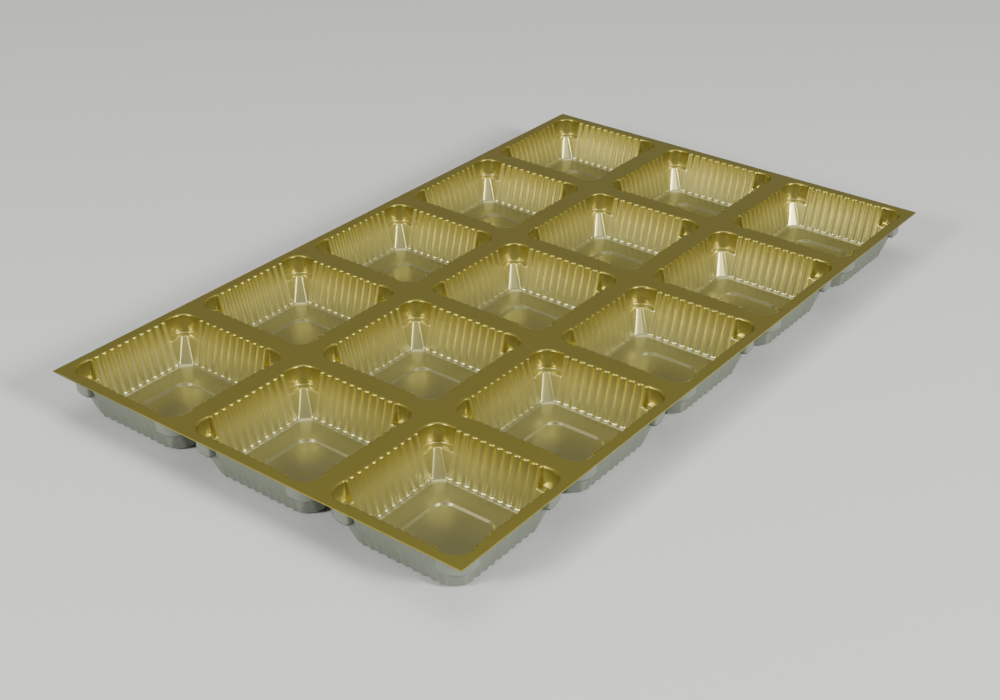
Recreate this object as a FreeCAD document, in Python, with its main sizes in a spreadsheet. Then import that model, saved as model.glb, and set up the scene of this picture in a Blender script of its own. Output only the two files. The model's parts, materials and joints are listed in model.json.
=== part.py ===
"""Thermoformed fifteen-cavity confectionery tray, one formed sheet of thin metallised film.

The tray is drawn the way its mould is drawn.  One cavity is drawn twice, once as the inside face
of the film and once as the outside face, a film thickness apart.  Both are repeated over the grid
of cavities: the outside copies are fused to the flat flange, the inside copies are cut out of it,
and what is left is the formed sheet.

Frame: +Z up, X across the short side, Y along the long side.  The origin is the middle of the
footprint, on the plane the tray stands on.  All sizes are in millimetres.
"""
import FreeCAD, Part

import os

import Sketcher
from FreeCAD import Vector

DOC = FreeCAD.newDocument("confectionery_tray")

# Driving dimensions: alias, value, what it is.
DIMENSIONS = [
    ("columns", 3, "cavities along X"),
    ("rows", 5, "cavities along Y"),
    ("film", 0.35, "thickness of the formed film"),
    ("mouth", 34.0, "side of the square cavity mouth, between rib crests"),
    ("floor_side", 28.0, "side of the square that the wall planes make at floor level"),
    ("depth", 11.5, "flange top to cavity floor"),
    ("web", 6.0, "flat strip between neighbouring mouths"),
    ("edge_margin", 3.0, "flat strip between a mouth and the trimmed edge"),
    ("floor_bevel", 0.9, "bevel between wall and floor"),
    ("flat_top", 0.9, "leg of the slanting corner flat, under the lug"),
    ("flat_foot", 2.3, "leg of the slanting corner flat, at the floor"),
    ("lug_side", 5.6, "length of a corner lug along each wall"),
    ("lug_depth", 5.0, "flange top to the lug's ledge"),
    ("lug_corner", 3.6, "leg of a lug's corner, cut in two flats"),
    ("grooves", 10, "grooves between the lugs of one wall"),
    ("groove_depth", 0.5, "depth of a groove at the mouth"),
    ("groove_end", 1.8, "height above the floor at which the grooves run out"),
    ("panel_side", 16.0, "side of the sunk square panel in the floor"),
    ("panel_corner", 2.4, "leg of the sunk panel's cut corners"),
    ("panel_drop", 0.5, "how far the panel is sunk"),
]
WALLS = 4
ORIGIN_POINT = (-1, 1)
START, END = 1, 2


def make_sheet():
    """Write the driving dimensions into the spreadsheet, one alias a row."""
    sheet = DOC.addObject("Spreadsheet::Sheet", "Dimensions")
    for row, (alias, value, meaning) in enumerate(DIMENSIONS, start=1):
        sheet.set("A%d" % row, alias)
        sheet.set("B%d" % row, str(value))
        sheet.set("C%d" % row, meaning)
        sheet.setAlias("B%d" % row, alias)
    DOC.recompute()
    return sheet


def size(alias):
    """The expression that reads one driving dimension."""
    return "<<Dimensions>>." + alias


FLANGE_TOP = "(%s + %s + %s)" % (size("depth"), size("panel_drop"), size("film"))
LEAN = "((%s - %s) / 2 / %s)" % (size("mouth"), size("floor_side"), size("depth"))
GROOVE_PITCH = "((%s - 2 * %s - 2 * %s) / %s)" % (
    size("mouth"), size("lug_side"), size("film"), size("grooves"))


class FilmSide:
    """Levels and half-widths of one face of the film, as expressions.

    gap is how far the face lies outside the cavity's inside face: nothing, or the film.
    """

    def __init__(self, name, gap):
        self.name = name
        self.gap = gap
        self.floor = "(%s - %s - %s)" % (FLANGE_TOP, size("depth"), gap)
        self.ledge = "(%s - %s - %s)" % (FLANGE_TOP, size("lug_depth"), gap)
        self.bevel_top = "(%s + %s + %s / 2)" % (self.floor, size("floor_bevel"), gap)
        self.panel_floor = "(%s - %s)" % (self.floor, size("panel_drop"))
        self.bend = "(%s * tan(22.5deg))" % gap
        self.corner_bend = "(%s * (2 - sqrt(2)))" % gap
        self.lug_edge = "(%s / 2 - %s - %s)" % (size("mouth"), size("lug_side"), gap)
        self.lug_corner = "(%s + %s)" % (size("lug_corner"), gap)

    def wall_at(self, level):
        """Half the distance between opposite walls at a level."""
        return "(%s / 2 - (%s - %s) * %s + %s * sqrt(1 + %s ^ 2))" % (
            size("mouth"), FLANGE_TOP, level, LEAN, self.gap, LEAN)


INSIDE = FilmSide("Inside", "0")
OUTSIDE = FilmSide("Outside", size("film"))


def origin_feature(body, role):
    """One of the body's own origin planes or axes."""
    return next(item for item in body.Origin.OriginFeatures if item.Role == role)


def level_sketch(body, name, level):
    """An empty horizontal sketch of the body at a level given as an expression."""
    sketch = body.newObject("Sketcher::SketchObject", name)
    sketch.AttachmentSupport = [(origin_feature(body, "XY_Plane"), "")]
    sketch.MapMode = "FlatFace"
    sketch.setExpression("AttachmentOffset.Base.z", level)
    return sketch


def bind(sketch, constraint, expression):
    """Add a dimension to the sketch and bind it to an expression."""
    index = sketch.addConstraint(constraint)
    sketch.setExpression("Constraints[%d]" % index, expression)


def pin(sketch, edge, place):
    """Hold the start of an edge at a place, given as two expressions from the sketch's origin."""
    for kind, expression in zip(("DistanceX", "DistanceY"), place):
        value = sketch.evalExpression(expression)
        bind(sketch, Sketcher.Constraint(kind, *ORIGIN_POINT, edge, START, value), expression)


def draw_polygon(sketch, corners):
    """Close a polygon through corners, each a pair of expressions from the sketch's origin."""
    points = [Vector(sketch.evalExpression(x), sketch.evalExpression(y), 0) for x, y in corners]
    count = len(points)
    for index in range(count):
        sketch.addGeometry(Part.LineSegment(points[index], points[(index + 1) % count]), False)
    for index in range(count):
        sketch.addConstraint(Sketcher.Constraint("Coincident", index, END, (index + 1) % count, START))
    for index in range(count):
        pin(sketch, index, corners[index])
    return sketch


def add_wedge(body, name, low, high):
    """Four planar walls between two levels, square in plan.

    low and high are each a level and the least and greatest X of the square there.  The same two
    values serve for Y, so a square off the centre lies in the +X -Y corner.
    """
    wedge = body.newObject("PartDesign::AdditiveWedge", name)
    wedge.AttachmentSupport = [(origin_feature(body, "XY_Plane"), "")]
    wedge.MapMode = "FlatFace"
    wedge.AttachmentOffset = FreeCAD.Placement(Vector(0, 0, 0), FreeCAD.Rotation(Vector(1, 0, 0), 90))
    wide = {"Xmin": -9, "Xmax": 9, "Ymin": -9, "Ymax": 9, "Zmin": -9, "Zmax": 9,
            "X2min": -9, "X2max": 9, "Z2min": -9, "Z2max": 9}
    for key, value in wide.items():
        setattr(wedge, key, value)
    bindings = {"Ymin": low[0], "Ymax": high[0], "Xmin": low[1], "Xmax": low[2], "Zmin": low[1],
                "Zmax": low[2], "X2min": high[1], "X2max": high[2], "Z2min": high[1], "Z2max": high[2]}
    for key, expression in bindings.items():
        wedge.setExpression(key, expression)
    DOC.recompute()
    return wedge


def add_frustum(body, name, low, high):
    """A wedge about the axis: low and high are each a level and half the width there."""
    return add_wedge(body, name, (low[0], "-" + low[1], low[1]), (high[0], "-" + high[1], high[1]))


def slant(feature, inward_x, inward_y, fall):
    """Run a pad or pocket down through a fall, drifting by the given expressions on the way."""
    feature.UseCustomVector = True
    feature.AlongSketchNormal = True
    feature.Direction = Vector(-1, -1, -1)
    feature.setExpression("Direction.x", inward_x)
    feature.setExpression("Direction.y", inward_y)
    feature.setExpression("Direction.z", "-" + fall)
    feature.setExpression("Length", fall)


def turn_about_axis(body, name):
    """A polar pattern, one place to each wall or corner of the square."""
    pattern = body.newObject("PartDesign::PolarPattern", name)
    pattern.Axis = (origin_feature(body, "Z_Axis"), [""])
    pattern.Angle = 360
    pattern.Occurrences = WALLS
    return pattern


def repeat_around(body, feature):
    """Repeat a feature at all four corners of the square."""
    pattern = turn_about_axis(body, feature.Name + "s")
    pattern.Originals = [feature]
    body.Tip = pattern
    DOC.recompute()


def trim_corners(body, name, level, corners, drift, fall):
    """Pocket the outline in the +X +Y corner, leaning in by drift over the fall, and repeat it."""
    profile = draw_polygon(level_sketch(body, name + "Profile", level), corners)
    pocket = body.newObject("PartDesign::Pocket", name)
    pocket.Profile = profile
    slant(pocket, "-" + drift, "-" + drift, fall)
    DOC.recompute()
    repeat_around(body, pocket)


def add_lower_walls(body, side):
    """Leaning walls from the ledge down to the bevelled floor, with slanting flats at the corners."""
    at_ledge, at_bevel = side.wall_at(side.ledge), side.wall_at(side.bevel_top)
    add_frustum(body, side.name + "Walls", (side.bevel_top, at_bevel), (side.ledge, at_ledge))
    at_floor = "(%s - (%s - %s))" % (at_bevel, side.bevel_top, side.floor)
    add_frustum(body, side.name + "FloorBevel", (side.floor, at_floor), (side.bevel_top, at_bevel))
    leg = "(%s + %s)" % (size("flat_top"), side.corner_bend)
    fall = "(%s - %s)" % (side.ledge, side.floor)
    drift = "(%s * %s + (%s - %s) / 2)" % (fall, LEAN, size("flat_foot"), size("flat_top"))
    inner, outer = "(%s - %s)" % (at_ledge, leg), "(%s + %s)" % (at_ledge, size("mouth"))
    corners = [(at_ledge, inner), (outer, inner), (outer, outer), (inner, outer), (inner, at_ledge)]
    trim_corners(body, side.name + "CornerFlat", side.ledge, corners, drift, fall)


def add_upper_walls(body, side):
    """The same walls carried up to the mouth, with an upright lug in each corner above the ledge.

    The faces of a lug lie in the plane that the grooves reach at the mouth.
    """
    add_frustum(body, side.name + "UpperWalls", (side.ledge, side.wall_at(side.ledge)),
                (FLANGE_TOP, side.wall_at(FLANGE_TOP)))
    reach = "(%s / 2 + %s + %s)" % (size("mouth"), size("groove_depth"), side.gap)
    lug = add_wedge(body, side.name + "Lug", (side.ledge, side.lug_edge, reach),
                    (FLANGE_TOP, side.lug_edge, reach))
    repeat_around(body, lug)
    inner, outer = "(%s - %s)" % (reach, side.lug_corner), "(%s + %s)" % (reach, size("mouth"))
    waist = "(%s - %s * (1 - sqrt(1 / 2)))" % (reach, side.lug_corner)
    corners = [(reach, inner), (outer, inner), (outer, outer), (inner, outer), (inner, reach),
               (waist, waist)]
    trim_corners(body, side.name + "LugCorner", FLANGE_TOP, corners, "0",
                 "(%s - %s)" % (FLANGE_TOP, side.ledge))


def add_grooves(body, side):
    """V grooves down every wall, which meet in sharp ribs at the mouth and run out above the floor."""
    depth, end = size("groove_depth"), "(%s + %s)" % (side.floor, size("groove_end"))
    crest = side.wall_at(FLANGE_TOP)
    root = "(%s - %s)" % (crest, depth)
    first = "(-(%s - 1) / 2 * %s)" % (size("grooves"), GROOVE_PITCH)
    corners = [("(%s - %s)" % (first, GROOVE_PITCH), root), ("(%s + %s)" % (first, GROOVE_PITCH), root),
               (first, "(%s + %s)" % (crest, depth))]
    profile = draw_polygon(level_sketch(body, side.name + "GrooveProfile", FLANGE_TOP), corners)
    groove = body.newObject("PartDesign::Pad", side.name + "Groove")
    groove.Profile = profile
    slant(groove, "0", "-(%s + %s - %s)" % (crest, depth, side.wall_at(end)),
          "(%s - %s)" % (FLANGE_TOP, end))
    DOC.recompute()
    pattern = body.newObject("PartDesign::MultiTransform", side.name + "Grooves")
    pattern.Originals = [groove]
    along = body.newObject("PartDesign::LinearPattern", side.name + "GroovesOfOneWall")
    along.Direction = (origin_feature(body, "X_Axis"), [""])
    along.setExpression("Length", "(%s - 1) * %s" % (size("grooves"), GROOVE_PITCH))
    along.setExpression("Occurrences", size("grooves"))
    pattern.Transformations = [along, turn_about_axis(body, side.name + "GroovesAround")]
    body.Tip = pattern
    DOC.recompute()


def add_panel(body, side):
    """The square panel sunk into the floor, its rim a 45 degree step and its corners cut."""
    half = "(%s / 2 + %s)" % (size("panel_side"), side.bend)
    foot = "(%s - %s)" % (half, size("panel_drop"))
    add_frustum(body, side.name + "Panel", (side.panel_floor, foot), (side.floor, half))
    leg = "(%s + %s)" % (size("panel_corner"), side.corner_bend)
    inner, outer = "(%s - %s)" % (half, leg), "(%s + %s)" % (half, leg)
    corners = [(half, inner), (outer, inner), (outer, outer), (inner, outer), (inner, half)]
    trim_corners(body, side.name + "PanelCorner", side.floor, corners,
                 "(%s * sqrt(1 / 2))" % size("panel_drop"), size("panel_drop"))


def make_cavity(side):
    """One face of a cavity as a solid plug, standing over the origin."""
    body = DOC.addObject("PartDesign::Body", side.name + "Cavity")
    add_lower_walls(body, side)
    add_upper_walls(body, side)
    add_grooves(body, side)
    add_panel(body, side)
    return body


def repeat_over_grid(body, columns, rows):
    """Links to the body at every place of the cavity grid."""
    pitch = "(%s + %s)" % (size("mouth"), size("web"))
    links = []
    for column in range(columns):
        for row in range(rows):
            link = DOC.addObject("App::Link", "%s_%d_%d" % (body.Name, column + 1, row + 1))
            link.LinkedObject = body
            for axis, number, count in (("x", column, "columns"), ("y", row, "rows")):
                link.setExpression("Placement.Base." + axis,
                                   "(%d - (%s - 1) / 2) * %s" % (number, size(count), pitch))
            links.append(link)
    return links


def make_flange():
    """The flat trimmed sheet before the cavities are formed."""
    flange = DOC.addObject("Part::Box", "Flange")
    for extent, place, count in (("Length", "x", "columns"), ("Width", "y", "rows")):
        whole = "(%s * %s + (%s - 1) * %s + 2 * %s)" % (
            size(count), size("mouth"), size(count), size("web"), size("edge_margin"))
        flange.setExpression(extent, whole)
        flange.setExpression("Placement.Base." + place, "-%s / 2" % whole)
    flange.setExpression("Height", size("film"))
    flange.setExpression("Placement.Base.z", "%s - %s" % (FLANGE_TOP, size("film")))
    return flange


def make_tray(sheet):
    """Fuse the outside of every cavity to the flange, then cut the inside of every cavity."""
    columns, rows = int(sheet.columns), int(sheet.rows)
    formed = DOC.addObject("Part::MultiFuse", "FormedBlank")
    formed.Shapes = [make_flange()] + repeat_over_grid(make_cavity(OUTSIDE), columns, rows)
    hollows = DOC.addObject("Part::Compound", "Hollows")
    hollows.Links = repeat_over_grid(make_cavity(INSIDE), columns, rows)
    tray = DOC.addObject("Part::Cut", "Tray")
    tray.Label = "tray"
    tray.Base = formed
    tray.Tool = hollows
    DOC.recompute()
    return tray


def check_document():
    """Stop if any object of the document failed to compute."""
    for item in DOC.Objects:
        if "Invalid" in item.State or "Error" in item.State:
            raise RuntimeError("%s failed: %s" % (item.Name, item.State))


def export(piece):
    """Write one sub-part's solid to parts/, under its label."""
    shape = piece.Shape
    if shape.isNull() or not shape.isValid() or len(shape.Solids) != 1:
        raise RuntimeError("%s is not one valid solid" % piece.Label)
    shape.exportStep("parts/%s.step" % piece.Label)


def main():
    """Build the document and write the tray."""
    tray = make_tray(make_sheet())
    check_document()
    os.makedirs("parts", exist_ok=True)
    export(tray)


main()
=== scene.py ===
"""Looks of a thermoformed confectionery tray in gold metallised film.

The tray is one formed sheet.  Its mould repeats one square cell over a grid, so one cell is drawn:
an eighth of a fluted cup is pressed from a flat grid, mirrored and turned into four walls, joined
to a floor with a sunk panel and to its square of flange.  The cells are merged into one sheet,
which then gets the thickness of the film.  Shapes are drawn in millimetres and scaled to metres.
"""
import json
import logging
import math
from dataclasses import dataclass
from enum import Enum

import bmesh
import bpy
from mathutils import Matrix, Vector

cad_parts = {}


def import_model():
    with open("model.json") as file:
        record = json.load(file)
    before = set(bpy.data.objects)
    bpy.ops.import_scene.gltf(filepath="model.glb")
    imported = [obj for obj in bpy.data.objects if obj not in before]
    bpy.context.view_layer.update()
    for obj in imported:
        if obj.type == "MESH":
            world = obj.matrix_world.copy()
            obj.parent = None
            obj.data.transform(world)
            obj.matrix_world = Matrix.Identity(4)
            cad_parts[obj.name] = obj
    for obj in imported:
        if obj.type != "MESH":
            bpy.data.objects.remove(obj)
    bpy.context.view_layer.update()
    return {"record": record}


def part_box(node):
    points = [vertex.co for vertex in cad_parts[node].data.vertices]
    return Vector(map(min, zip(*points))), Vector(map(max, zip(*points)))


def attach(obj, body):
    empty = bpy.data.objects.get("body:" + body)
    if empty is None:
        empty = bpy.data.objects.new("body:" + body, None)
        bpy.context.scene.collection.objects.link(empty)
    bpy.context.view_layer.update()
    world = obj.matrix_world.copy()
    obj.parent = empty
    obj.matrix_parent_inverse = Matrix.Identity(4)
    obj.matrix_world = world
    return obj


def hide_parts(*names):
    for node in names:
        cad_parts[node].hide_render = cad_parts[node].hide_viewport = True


MM = 0.001
QUARTER_TURN = math.pi / 2
# Points closer than this, in millimetres, are one point.
MERGE = 0.01
LOG = logging.getLogger("tray")

Socket = bpy.types.NodeSocket
Colour = tuple[float, float, float, float]


class FilmFace(Enum):
    """The two faces of the film, numbered as the piece's material slots."""

    GOLD = 0
    BACK = 1


class LightRole(Enum):
    """What a studio light does for the tray."""

    KEY = "key"
    FILL = "fill"
    TOP = "top"


def linear_colour(hex_code: str) -> Colour:
    """Turn an sRGB hex colour into Blender's linear RGBA.

    Args:
        hex_code: Six hex digits after a hash sign.

    Returns:
        Linear red, green, blue and an alpha of one.
    """
    channels = [int(hex_code[start:start + 2], 16) / 255 for start in (1, 3, 5)]
    linear = [c / 12.92 if c <= 0.04045 else ((c + 0.055) / 1.055) ** 2.4 for c in channels]
    return (*linear, 1.0)


def new_material(name: str) -> tuple[bpy.types.Material, bpy.types.Node]:
    """Start a material.

    Args:
        name: The finish's name.

    Returns:
        The material and its shader.
    """
    material = bpy.data.materials.new(name)
    material.use_nodes = True
    return material, material.node_tree.nodes["Principled BSDF"]


def set_inputs(
    material: bpy.types.Material, node: bpy.types.Node, inputs: dict[str, float | Colour | Socket]
) -> None:
    """Give a node's inputs their constants and links.

    Args:
        material: The material that the node is in.
        node: The node.
        inputs: For each input, a constant or the output socket that feeds it.
    """
    for name, value in inputs.items():
        if isinstance(value, Socket):
            material.node_tree.links.new(value, node.inputs[name])
        else:
            node.inputs[name].default_value = value


def add_node(
    material: bpy.types.Material,
    kind: str,
    settings: dict[str, str],
    inputs: dict[str, float | Colour | Socket],
) -> bpy.types.Node:
    """Add one node to a material, with its settings, values and links.

    Args:
        material: The material that gets the node.
        kind: The node's Blender type name.
        settings: Properties of the node itself.
        inputs: For each input, a constant or the output socket that feeds it.

    Returns:
        The new node.
    """
    node = material.node_tree.nodes.new(kind)
    for name, value in settings.items():
        setattr(node, name, value)
    set_inputs(material, node, inputs)
    return node


def add_object(name: str, bm: bmesh.types.BMesh) -> bpy.types.Object:
    """Turn a finished bmesh into an object of the scene.

    Args:
        name: The object's name, and its mesh's.
        bm: The bmesh, which is freed.

    Returns:
        The new object.
    """
    mesh = bpy.data.meshes.new(name)
    bm.to_mesh(mesh)
    bm.free()
    made = bpy.data.objects.new(name, mesh)
    bpy.context.collection.objects.link(made)
    return made


def open_edges_at(bm: bmesh.types.BMesh, level: float) -> list[bmesh.types.BMEdge]:
    """Find the open edges of a sheet that lie at a level.

    Args:
        bm: The sheet.
        level: The level, in millimetres.

    Returns:
        The edges.
    """
    return [
        edge for edge in bm.edges
        if edge.is_boundary and all(abs(v.co.z - level) < MERGE for v in edge.verts)
    ]


def fill_flat(bm: bmesh.types.BMesh, edges: list[bmesh.types.BMEdge]) -> None:
    """Fill the flat area inside closed loops of edges at one level."""
    bmesh.ops.triangle_fill(
        bm, edges=edges, use_beauty=True, use_dissolve=False, normal=(0, 0, 1)
    )


@dataclass(frozen=True)
class GoldFilm:
    """Gold-lacquered metallised PET, vacuum formed.

    The lacquer and the metal under it are thin, so the eye sees a soft satin mirror on the flange.
    The walls are painted a paler, creamier gold, a painted highlight for the light they catch, and
    the floors a greyer gold.
    """

    name: str = "gold metallised PET film"
    flange_hex: str = "#92883C"
    wall_highlight_hex: str = "#B9B068"
    floor_hex: str = "#9F9C6C"
    # Where the walls' painted highlight colour is, as a part of the way from the floors to the
    # flange.
    wall_highlight_stop: float = 0.55
    metallic: float = 0.8
    roughness: float = 0.3
    ripple_mm: float = 14.0
    ripple_detail: float = 1.0
    ripple_strength: float = 0.08

    def build(self, floor: float, flange: float) -> bpy.types.Material:
        """Make the material, whose colour goes from the cups' floors up to the flange, paler on the
        walls as a painted highlight.

        Args:
            floor: Level of the floors, in millimetres.
            flange: Level of the flange, in millimetres.

        Returns:
            The new material.
        """
        material, shader = new_material(self.name)
        place = add_node(material, "ShaderNodeTexCoord", {}, {}).outputs["Object"]
        split = add_node(material, "ShaderNodeSeparateXYZ", {}, {"Vector": place})
        up_the_cup = add_node(
            material,
            "ShaderNodeMapRange",
            {"interpolation_type": "LINEAR"},
            {
                "Value": split.outputs["Z"],
                "From Min": floor * MM,
                "From Max": flange * MM,
            },
        )
        ramp = add_node(material, "ShaderNodeValToRGB", {}, {"Fac": up_the_cup.outputs["Result"]})
        ramp.color_ramp.elements[0].color = linear_colour(self.floor_hex)
        ramp.color_ramp.elements[1].color = linear_colour(self.flange_hex)
        # The paler wall colour is a painted highlight: the light that the walls catch, painted into
        # the gold.
        ramp.color_ramp.elements.new(self.wall_highlight_stop).color = linear_colour(self.wall_highlight_hex)
        # Cooling leaves slow waves a centimetre or so long in the sheet.
        waves = add_node(
            material,
            "ShaderNodeTexNoise",
            {"noise_dimensions": "3D"},
            {"Vector": place, "Scale": 1 / (self.ripple_mm * MM), "Detail": self.ripple_detail},
        )
        bump = add_node(
            material,
            "ShaderNodeBump",
            {},
            {"Height": waves.outputs["Fac"], "Strength": self.ripple_strength, "Distance": MM},
        )
        set_inputs(
            material,
            shader,
            {
                "Base Color": ramp.outputs["Color"],
                "Normal": bump.outputs["Normal"],
                "Metallic": self.metallic,
                "Roughness": self.roughness,
            },
        )
        return material


@dataclass(frozen=True)
class PlainFinish:
    """A finish with one colour and one sheen all over."""

    name: str
    colour_hex: str
    roughness: float
    ior: float = 1.5

    def build(self) -> bpy.types.Material:
        """Make the material.

        Returns:
            The new material.
        """
        material, shader = new_material(self.name)
        set_inputs(
            material,
            shader,
            {
                "Base Color": linear_colour(self.colour_hex),
                "Roughness": self.roughness,
                "IOR": self.ior,
            },
        )
        return material


# The bare PET under the metal: a pale grey-green plastic with a soft sheen.
BACK_FILM = PlainFinish("pale back of the film", "#6A7062", 0.38, ior=1.57)
# Uncoated paper on the studio floor, with no sheen.
PALE_PAPER = PlainFinish("pale paper", "#C9C9C6", 0.9)


@dataclass(frozen=True)
class Station:
    """One level down the cup's wall: where the fluted wall and the corner stand there.

    wall and corner are half-widths of the cup; the levels are heights above the tray's base; share
    is how much of the full groove depth is left; lugged tells whether the corner is still a lug.
    """

    wall: float
    wall_level: float
    corner: float
    corner_level: float
    share: float
    lugged: bool


@dataclass
class Cup:
    """One fluted cup about the Z axis, sizes in millimetres.

    A share is a part of the full groove depth.  The rim and the foot are arcs, and their rows go
    by the part of the arc that is turned.
    """

    top: float
    mouth: float = 17.0
    floor_half: float = 14.0
    depth: float = 11.5
    rim_radius: float = 0.4
    foot_radius: float = 0.9
    rib_pitch: float = 2.275
    ribs: int = 5
    groove_depth: float = 0.5
    lug_depth: float = 5.0
    lug_reach: float = 17.5
    lug_round: float = 3.6
    flat_top: float = 0.9
    flat_foot: float = 2.3
    # A row or column this far from a bend keeps what lies past it flat; edge is for narrow strips.
    hold: float = 0.35
    edge: float = 0.12
    # Places in one rib pitch, and the share of the groove at each.
    rib_places: tuple[tuple[float, float], ...] = ((0.0, 0.0), (0.3, 0.22), (0.5, 1.0), (0.7, 0.22))
    flange_share: float = 0.6
    # Part of the arc that is turned, and the share there.
    rim_rows: tuple[tuple[float, float], ...] = ((0, 0.7), (1 / 3, 0.85), (2 / 3, 0.95), (1, 1.0))
    foot_rows: tuple[tuple[float, float], ...] = ((1, 0.8), (2 / 3, 0.7), (1 / 3, 0.35), (0, 0.0))
    # Height over the ledge of the wall and of the corner, the corner's step in, and if it is a lug.
    ledge_rows: tuple[tuple[float, float, float, bool], ...] = (
        (0.3, 0.3, 0.0, True),
        (0.1, 0.0, 0.12, True),
        (-0.1, 0.0, -0.12, False),
        (-0.3, -0.3, 0.0, False),
    )
    ledge_share: float = 0.95
    # Columns on a lug's side: how far along the wall, and the part of the way out to its face.
    lug_side_columns: tuple[tuple[float, float], ...] = ((0.12, 0.12), (0.25, 0.85), (0.5, 1.0))
    # Columns under the ledge: parts of the wall's end, then parts of the flat's leg.
    wall_end_parts: tuple[float, ...] = (0.3, 0.6, 0.85, 1.0)
    flat_parts: tuple[float, ...] = (0.3, 0.5)
    corner_columns: int = 7

    @property
    def lean(self) -> float:
        """How far a wall leans in for each millimetre of fall."""
        return (self.mouth - self.floor_half) / self.depth

    @property
    def floor(self) -> float:
        """Level of the cup's floor."""
        return self.top - self.depth

    @property
    def ledge(self) -> float:
        """Level of the ledge under each lug."""
        return self.top - self.lug_depth

    @property
    def lug_start(self) -> float:
        """Distance from the wall's middle to the edge of the lug."""
        return self.ribs * self.rib_pitch

    @property
    def bend(self) -> float:
        """Angle between the flange or the floor and the leaning wall."""
        return QUARTER_TURN - math.atan(self.lean)

    def wall_at(self, level: float) -> float:
        """Half the cup's width between rib crests at a level."""
        return self.mouth - (self.top - level) * self.lean

    def flat_leg(self, level: float) -> float:
        """Leg of the 45 degree corner flat at a level under the ledge."""
        fallen = (self.ledge - level) / (self.ledge - self.floor)
        return self.flat_top + (self.flat_foot - self.flat_top) * fallen

    def rim_stations(self) -> list[Station]:
        """List the rows that bend from the flange into the wall.

        Returns:
            The stations, the flange first.
        """
        wall_edge = self.mouth + self.rim_radius * math.tan(self.bend / 2)
        lug_edge = self.lug_reach + self.rim_radius
        on_flange = (wall_edge + self.hold, self.top, lug_edge + self.hold, self.top)
        rows = [Station(*on_flange, self.flange_share, True)]
        for part, share in self.rim_rows:
            wall_turn, lug_turn = part * self.bend, part * QUARTER_TURN
            rows.append(
                Station(
                    wall_edge - self.rim_radius * math.sin(wall_turn),
                    self.top - self.rim_radius * (1 - math.cos(wall_turn)),
                    lug_edge - self.rim_radius * math.sin(lug_turn),
                    self.top - self.rim_radius * (1 - math.cos(lug_turn)),
                    share,
                    True,
                )
            )
        return rows

    def ledge_stations(self) -> list[Station]:
        """List the rows on both sides of the ledge, where the lug ends and the flat starts.

        Returns:
            The stations, the highest first.
        """
        rows = []
        for rise, corner_rise, step_in, lugged in self.ledge_rows:
            level, corner_level = self.ledge + rise, self.ledge + corner_rise
            corner = (self.lug_reach if lugged else self.wall_at(corner_level)) - step_in
            wall = self.wall_at(level)
            rows.append(Station(wall, level, corner, corner_level, self.ledge_share, lugged))
        return rows

    def foot_stations(self) -> list[Station]:
        """List the rows that bend from the wall into the floor.

        Returns:
            The stations, the floor last.
        """
        foot = self.wall_at(self.floor) - self.foot_radius * math.tan(self.bend / 2)
        rows = []
        for part, share in self.foot_rows:
            half = foot + self.foot_radius * math.sin(part * self.bend)
            level = self.floor + self.foot_radius * (1 - math.cos(part * self.bend))
            rows.append(Station(half, level, half, level, share, False))
        inner = foot - self.hold
        rows.append(Station(inner, self.floor, inner, self.floor, 0.0, False))
        return rows

    def wall_point(self, column: int, row: Station) -> Vector:
        """Place a point of the fluted wall, on the +Y side.

        Args:
            column: Column of the grid, from the middle of the wall outwards.
            row: The station that the point lies on.

        Returns:
            The point.
        """
        rib, step = divmod(column, len(self.rib_places))
        place, share = self.rib_places[step]
        along = (rib + place) * self.rib_pitch
        if not row.lugged:
            flat_start = row.wall - self.flat_leg(row.wall_level)
            along *= min(1.0, (flat_start - self.hold) / self.lug_start)
        out = row.wall + share * row.share * self.groove_depth
        return Vector((along, out, row.wall_level))

    def lug_point(self, column: int, row: Station) -> Vector:
        """Place a point of the corner above the ledge: the side, face and rounding of the lug.

        Args:
            column: Column of the corner, from the fluted wall outwards.
            row: The station that the point lies on.

        Returns:
            The point.
        """
        if column < len(self.lug_side_columns):
            along, part = self.lug_side_columns[column]
            out = row.wall + part * (row.corner - row.wall)
            return Vector((self.lug_start + along, out, row.corner_level))
        first = len(self.lug_side_columns)
        swing = (column - first) / (self.corner_columns - 1 - first) * QUARTER_TURN / 2
        centre = self.lug_reach - self.lug_round
        radius = row.corner - centre
        along, out = centre + radius * math.sin(swing), centre + radius * math.cos(swing)
        return Vector((along, out, row.corner_level))

    def flat_point(self, column: int, row: Station) -> Vector:
        """Place a point of the corner under the ledge: the end of the wall, then the slanting flat.

        Args:
            column: Column of the corner, from the fluted wall outwards.
            row: The station that the point lies on.

        Returns:
            The point.
        """
        leg = self.flat_leg(row.corner_level)
        flat_start = row.corner - leg
        wall_end = min(self.lug_start, flat_start - self.hold)
        if column < len(self.wall_end_parts):
            along = self.wall_end_parts[column] * (flat_start - self.edge - wall_end)
            return Vector((wall_end + along, row.corner, row.corner_level))
        down_flat = (self.edge, *(part * leg for part in self.flat_parts))
        along = down_flat[column - len(self.wall_end_parts)]
        return Vector((flat_start + along, row.corner - along, row.corner_level))

    def press_eighth(self) -> bmesh.types.BMesh:
        """Press half of one wall and half of one corner out of a flat grid.

        Returns:
            A bmesh of the eighth, on the +Y side.
        """
        rows = self.rim_stations() + self.ledge_stations() + self.foot_stations()
        last_row = len(rows) - 1
        wall_columns = self.ribs * len(self.rib_places)
        across = wall_columns + self.corner_columns
        bm = bmesh.new()
        # The flat grid is one unit wide about its middle, and its first row is for the flange.
        half = 0.5
        bmesh.ops.create_grid(bm, x_segments=across, y_segments=last_row, size=half)
        for vertex in bm.verts:
            column = round((vertex.co.x + half) * across)
            row = rows[round((vertex.co.y + half) * last_row)]
            if column <= wall_columns:
                vertex.co = self.wall_point(column, row)
            elif row.lugged:
                vertex.co = self.lug_point(column - wall_columns - 1, row)
            else:
                vertex.co = self.flat_point(column - wall_columns - 1, row)
        return bm

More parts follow.
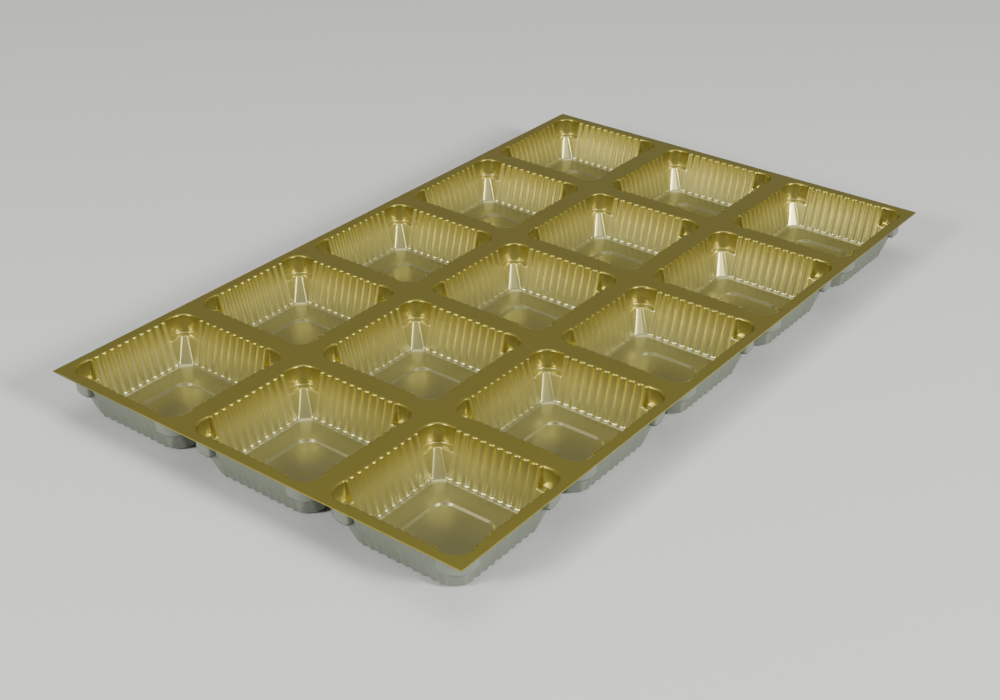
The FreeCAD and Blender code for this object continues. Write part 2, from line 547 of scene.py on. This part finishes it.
    def build(self) -> bmesh.types.BMesh:
        """Mirror and turn the pressed eighth into the four walls of a cup.

        Returns:
            A bmesh of the walls, open at the rim and at the floor.
        """
        bm = self.press_eighth()
        half = bm.verts[:] + bm.edges[:] + bm.faces[:]
        bmesh.ops.mirror(bm, geom=half, axis="X", merge_dist=MERGE)
        # Three copies, a quarter turn apart, are the other walls.
        bmesh.ops.spin(
            bm,
            geom=bm.verts[:] + bm.edges[:] + bm.faces[:],
            axis=(0, 0, 1),
            cent=(0, 0, 0),
            angle=3 * QUARTER_TURN,
            steps=3,
            use_duplicate=True,
        )
        bmesh.ops.remove_doubles(bm, verts=bm.verts, dist=MERGE)
        return bm


@dataclass
class SunkPanel:
    """The square panel sunk into a cup's floor, with rounded corners, sizes in millimetres."""

    floor: float
    half: float = 8.0
    corner_radius: float = 3.4
    drop: float = 0.5
    # Flat held on both sides of the slope, and the slope's own width.
    edge: float = 0.15
    slope: float = 0.3
    corner_segments: int = 6

    def add_to(self, bm: bmesh.types.BMesh) -> None:
        """Draw the panel at floor level and press it down.

        Args:
            bm: The cell's bmesh.
        """
        before = set(bm.verts)
        bmesh.ops.create_grid(
            bm,
            x_segments=1,
            y_segments=1,
            size=self.half + self.edge,
            matrix=Matrix.Translation((0, 0, self.floor)),
        )
        corners = [vertex for vertex in bm.verts if vertex not in before]
        bmesh.ops.bevel(
            bm,
            geom=corners,
            offset=self.corner_radius,
            offset_type="OFFSET",
            affect="VERTICES",
            segments=self.corner_segments,
            profile=0.5,
            material=-1,
        )
        panel = [face for face in bm.faces if all(v not in before for v in face.verts)]
        for thickness, depth in ((self.edge, 0.0), (self.slope, -self.drop), (self.edge, 0.0)):
            bmesh.ops.inset_region(
                bm,
                faces=panel,
                thickness=thickness,
                depth=depth,
                use_even_offset=True,
                use_boundary=True,
            )


@dataclass
class Tray:
    """The formed sheet: a grid of cups in a flat flange, sizes in millimetres."""

    top: float
    places: list[tuple[float, float]]
    pitch: float = 40.0
    film: float = 0.35
    gold: GoldFilm = GoldFilm()
    back: PlainFinish = BACK_FILM

    @property
    def cup(self) -> Cup:
        """The cup that hangs from the flange."""
        return Cup(top=self.top)

    def build_cell(self) -> bmesh.types.BMesh:
        """Draw one cup with its floor and its square of flange.

        Returns:
            A bmesh of the cell about the Z axis.
        """
        cup = self.cup
        bm = cup.build()
        mouth_edges = open_edges_at(bm, cup.top)
        SunkPanel(floor=cup.floor).add_to(bm)
        fill_flat(bm, open_edges_at(bm, cup.floor))
        before = set(bm.edges)
        bmesh.ops.create_grid(
            bm,
            x_segments=1,
            y_segments=1,
            size=self.pitch / 2,
            matrix=Matrix.Translation((0, 0, self.top)),
        )
        outline = [edge for edge in bm.edges if edge not in before]
        bmesh.ops.delete(bm, geom=outline[0].link_faces[:], context="FACES_ONLY")
        fill_flat(bm, mouth_edges + outline)
        return bm

    def build_sheet(self) -> bmesh.types.BMesh:
        """Repeat the cell at every place and merge the copies.

        Returns:
            A bmesh of the sheet in metres, whose faces point to the gold side.
        """
        bm = self.build_cell()
        cell = bm.verts[:] + bm.edges[:] + bm.faces[:]
        for x, y in self.places:
            copy = bmesh.ops.duplicate(bm, geom=cell)["geom"]
            moved = [part for part in copy if isinstance(part, bmesh.types.BMVert)]
            bmesh.ops.translate(bm, verts=moved, vec=(x, y, 0))
        bmesh.ops.delete(bm, geom=cell, context="VERTS")
        bmesh.ops.remove_doubles(bm, verts=bm.verts, dist=MERGE)
        bmesh.ops.recalc_face_normals(bm, faces=bm.faces)
        if sum(face.normal.z * face.calc_area() for face in bm.faces) < 0:
            bmesh.ops.reverse_faces(bm, faces=bm.faces)
        bmesh.ops.scale(bm, vec=(MM, MM, MM), verts=bm.verts)
        return bm

    def build(self) -> bpy.types.Object:
        """Make the tray from its sheet.

        Returns:
            The finished tray object.
        """
        bm = self.build_sheet()
        for face in bm.faces:
            face.smooth = True
        for edge in bm.edges:
            edge.smooth = not edge.is_boundary
        tray = add_object("formed_film", bm)
        self.dress(tray)
        return tray

    def dress(self, tray: bpy.types.Object) -> None:
        """Give the sheet its two materials and its thickness.

        Args:
            tray: The tray object, still a sheet.
        """
        tray.data.materials.append(self.gold.build(self.cup.floor, self.top))
        tray.data.materials.append(self.back.build())
        skin = tray.modifiers.new("film thickness", "SOLIDIFY")
        skin.thickness = self.film * MM
        # The drawn sheet is the gold side, and the thickness goes down and out from it.
        skin.offset = -1
        skin.use_even_offset = True
        skin.material_offset = FilmFace.BACK.value
        skin.material_offset_rim = FilmFace.GOLD.value
        flats = tray.modifiers.new("level flats", "WEIGHTED_NORMAL")
        flats.keep_sharp = True


@dataclass(frozen=True)
class SoftBox:
    """A square area light over the tray."""

    role: LightRole
    place: tuple[float, float, float]
    side: float
    watts: float

    def build(self, aim: Vector) -> None:
        """Make the light and turn it to the aim.

        Args:
            aim: The point that the light faces.
        """
        lamp = bpy.data.lights.new(self.role.value, "AREA")
        lamp.size = self.side
        lamp.energy = self.watts
        light = bpy.data.objects.new(self.role.value, lamp)
        light.location = self.place
        light.rotation_euler = (aim - light.location).to_track_quat("-Z", "Y").to_euler()
        bpy.context.collection.objects.link(light)


@dataclass
class Studio:
    """A plain pale floor, soft lights and the camera; metres, and degrees for its angles."""

    aim: Vector
    azimuth: float = 37.62
    elevation: float = 30.16
    distance: float = 0.3941
    slide: tuple[float, float] = (-0.00626, -0.01664)
    lens: float = 56.2
    world_level: float = 0.25
    floor_side: float = 6.0
    lights: tuple[SoftBox, ...] = (
        SoftBox(LightRole.KEY, (0.80, -0.08, 0.42), 0.18, 10.5),
        SoftBox(LightRole.FILL, (-0.12, -0.80, 0.42), 0.18, 7.5),
        SoftBox(LightRole.TOP, (-0.1, 0.1, 1.1), 0.9, 6.0),
    )

    def build_floor(self) -> bpy.types.Object:
        """Lay the floor under the tray.

        Returns:
            The floor object.
        """
        bm = bmesh.new()
        bmesh.ops.create_grid(bm, x_segments=1, y_segments=1, size=self.floor_side / 2)
        floor = add_object("floor", bm)
        floor.data.materials.append(PALE_PAPER.build())
        return floor

    def build_camera(self) -> bpy.types.Object:
        """Set the camera back from the aim along its azimuth and elevation.

        Returns:
            The camera object.
        """
        azimuth, elevation = math.radians(self.azimuth), math.radians(self.elevation)
        right = Vector((math.cos(azimuth), math.sin(azimuth), 0))
        level = math.cos(elevation)
        back = Vector((math.sin(azimuth) * level, -math.cos(azimuth) * level, math.sin(elevation)))
        up = back.cross(right)
        place = self.aim + self.distance * back + self.slide[0] * right + self.slide[1] * up
        turn = Matrix((right, up, back)).transposed().to_4x4()
        data = bpy.data.cameras.new("camera")
        data.lens = self.lens
        camera = bpy.data.objects.new("camera", data)
        camera.matrix_world = Matrix.Translation(place) @ turn
        bpy.context.collection.objects.link(camera)
        return camera

    def build(self) -> None:
        """Build the whole studio and look through its camera."""
        self.build_floor()
        for light in self.lights:
            light.build(self.aim)
        world = bpy.data.worlds.new("studio")
        world.use_nodes = True
        grey = (self.world_level, self.world_level, self.world_level, 1.0)
        world.node_tree.nodes["Background"].inputs["Color"].default_value = grey
        bpy.context.scene.world = world
        bpy.context.scene.camera = self.build_camera()


def cup_places(record: dict) -> list[tuple[float, float]]:
    """Read where the cups stand from the record's cavity openings.

    Args:
        record: The part's record.

    Returns:
        The middle of each cup, in millimetres.
    """
    places = []
    for opening in record["physics"]["openings"]:
        if opening["name"].startswith("cavity"):
            near, far = opening["box_m"]
            places.append(((near[0] + far[0]) / 2 / MM, (near[1] + far[1]) / 2 / MM))
    return places


def main() -> None:
    """Load the frame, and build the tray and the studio."""
    logging.basicConfig(level=logging.INFO, format="%(message)s")
    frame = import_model()
    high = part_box("tray")[1]
    places = cup_places(frame["record"])
    tray = Tray(top=high[2] / MM, places=places).build()
    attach(tray, "root")
    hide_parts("tray")
    LOG.info("%s: %d cups, %d faces in the sheet", tray.name, len(places), len(tray.data.polygons))
    Studio(aim=Vector((0, 0, high[2]))).build()


if __name__ == "__main__":
    main()
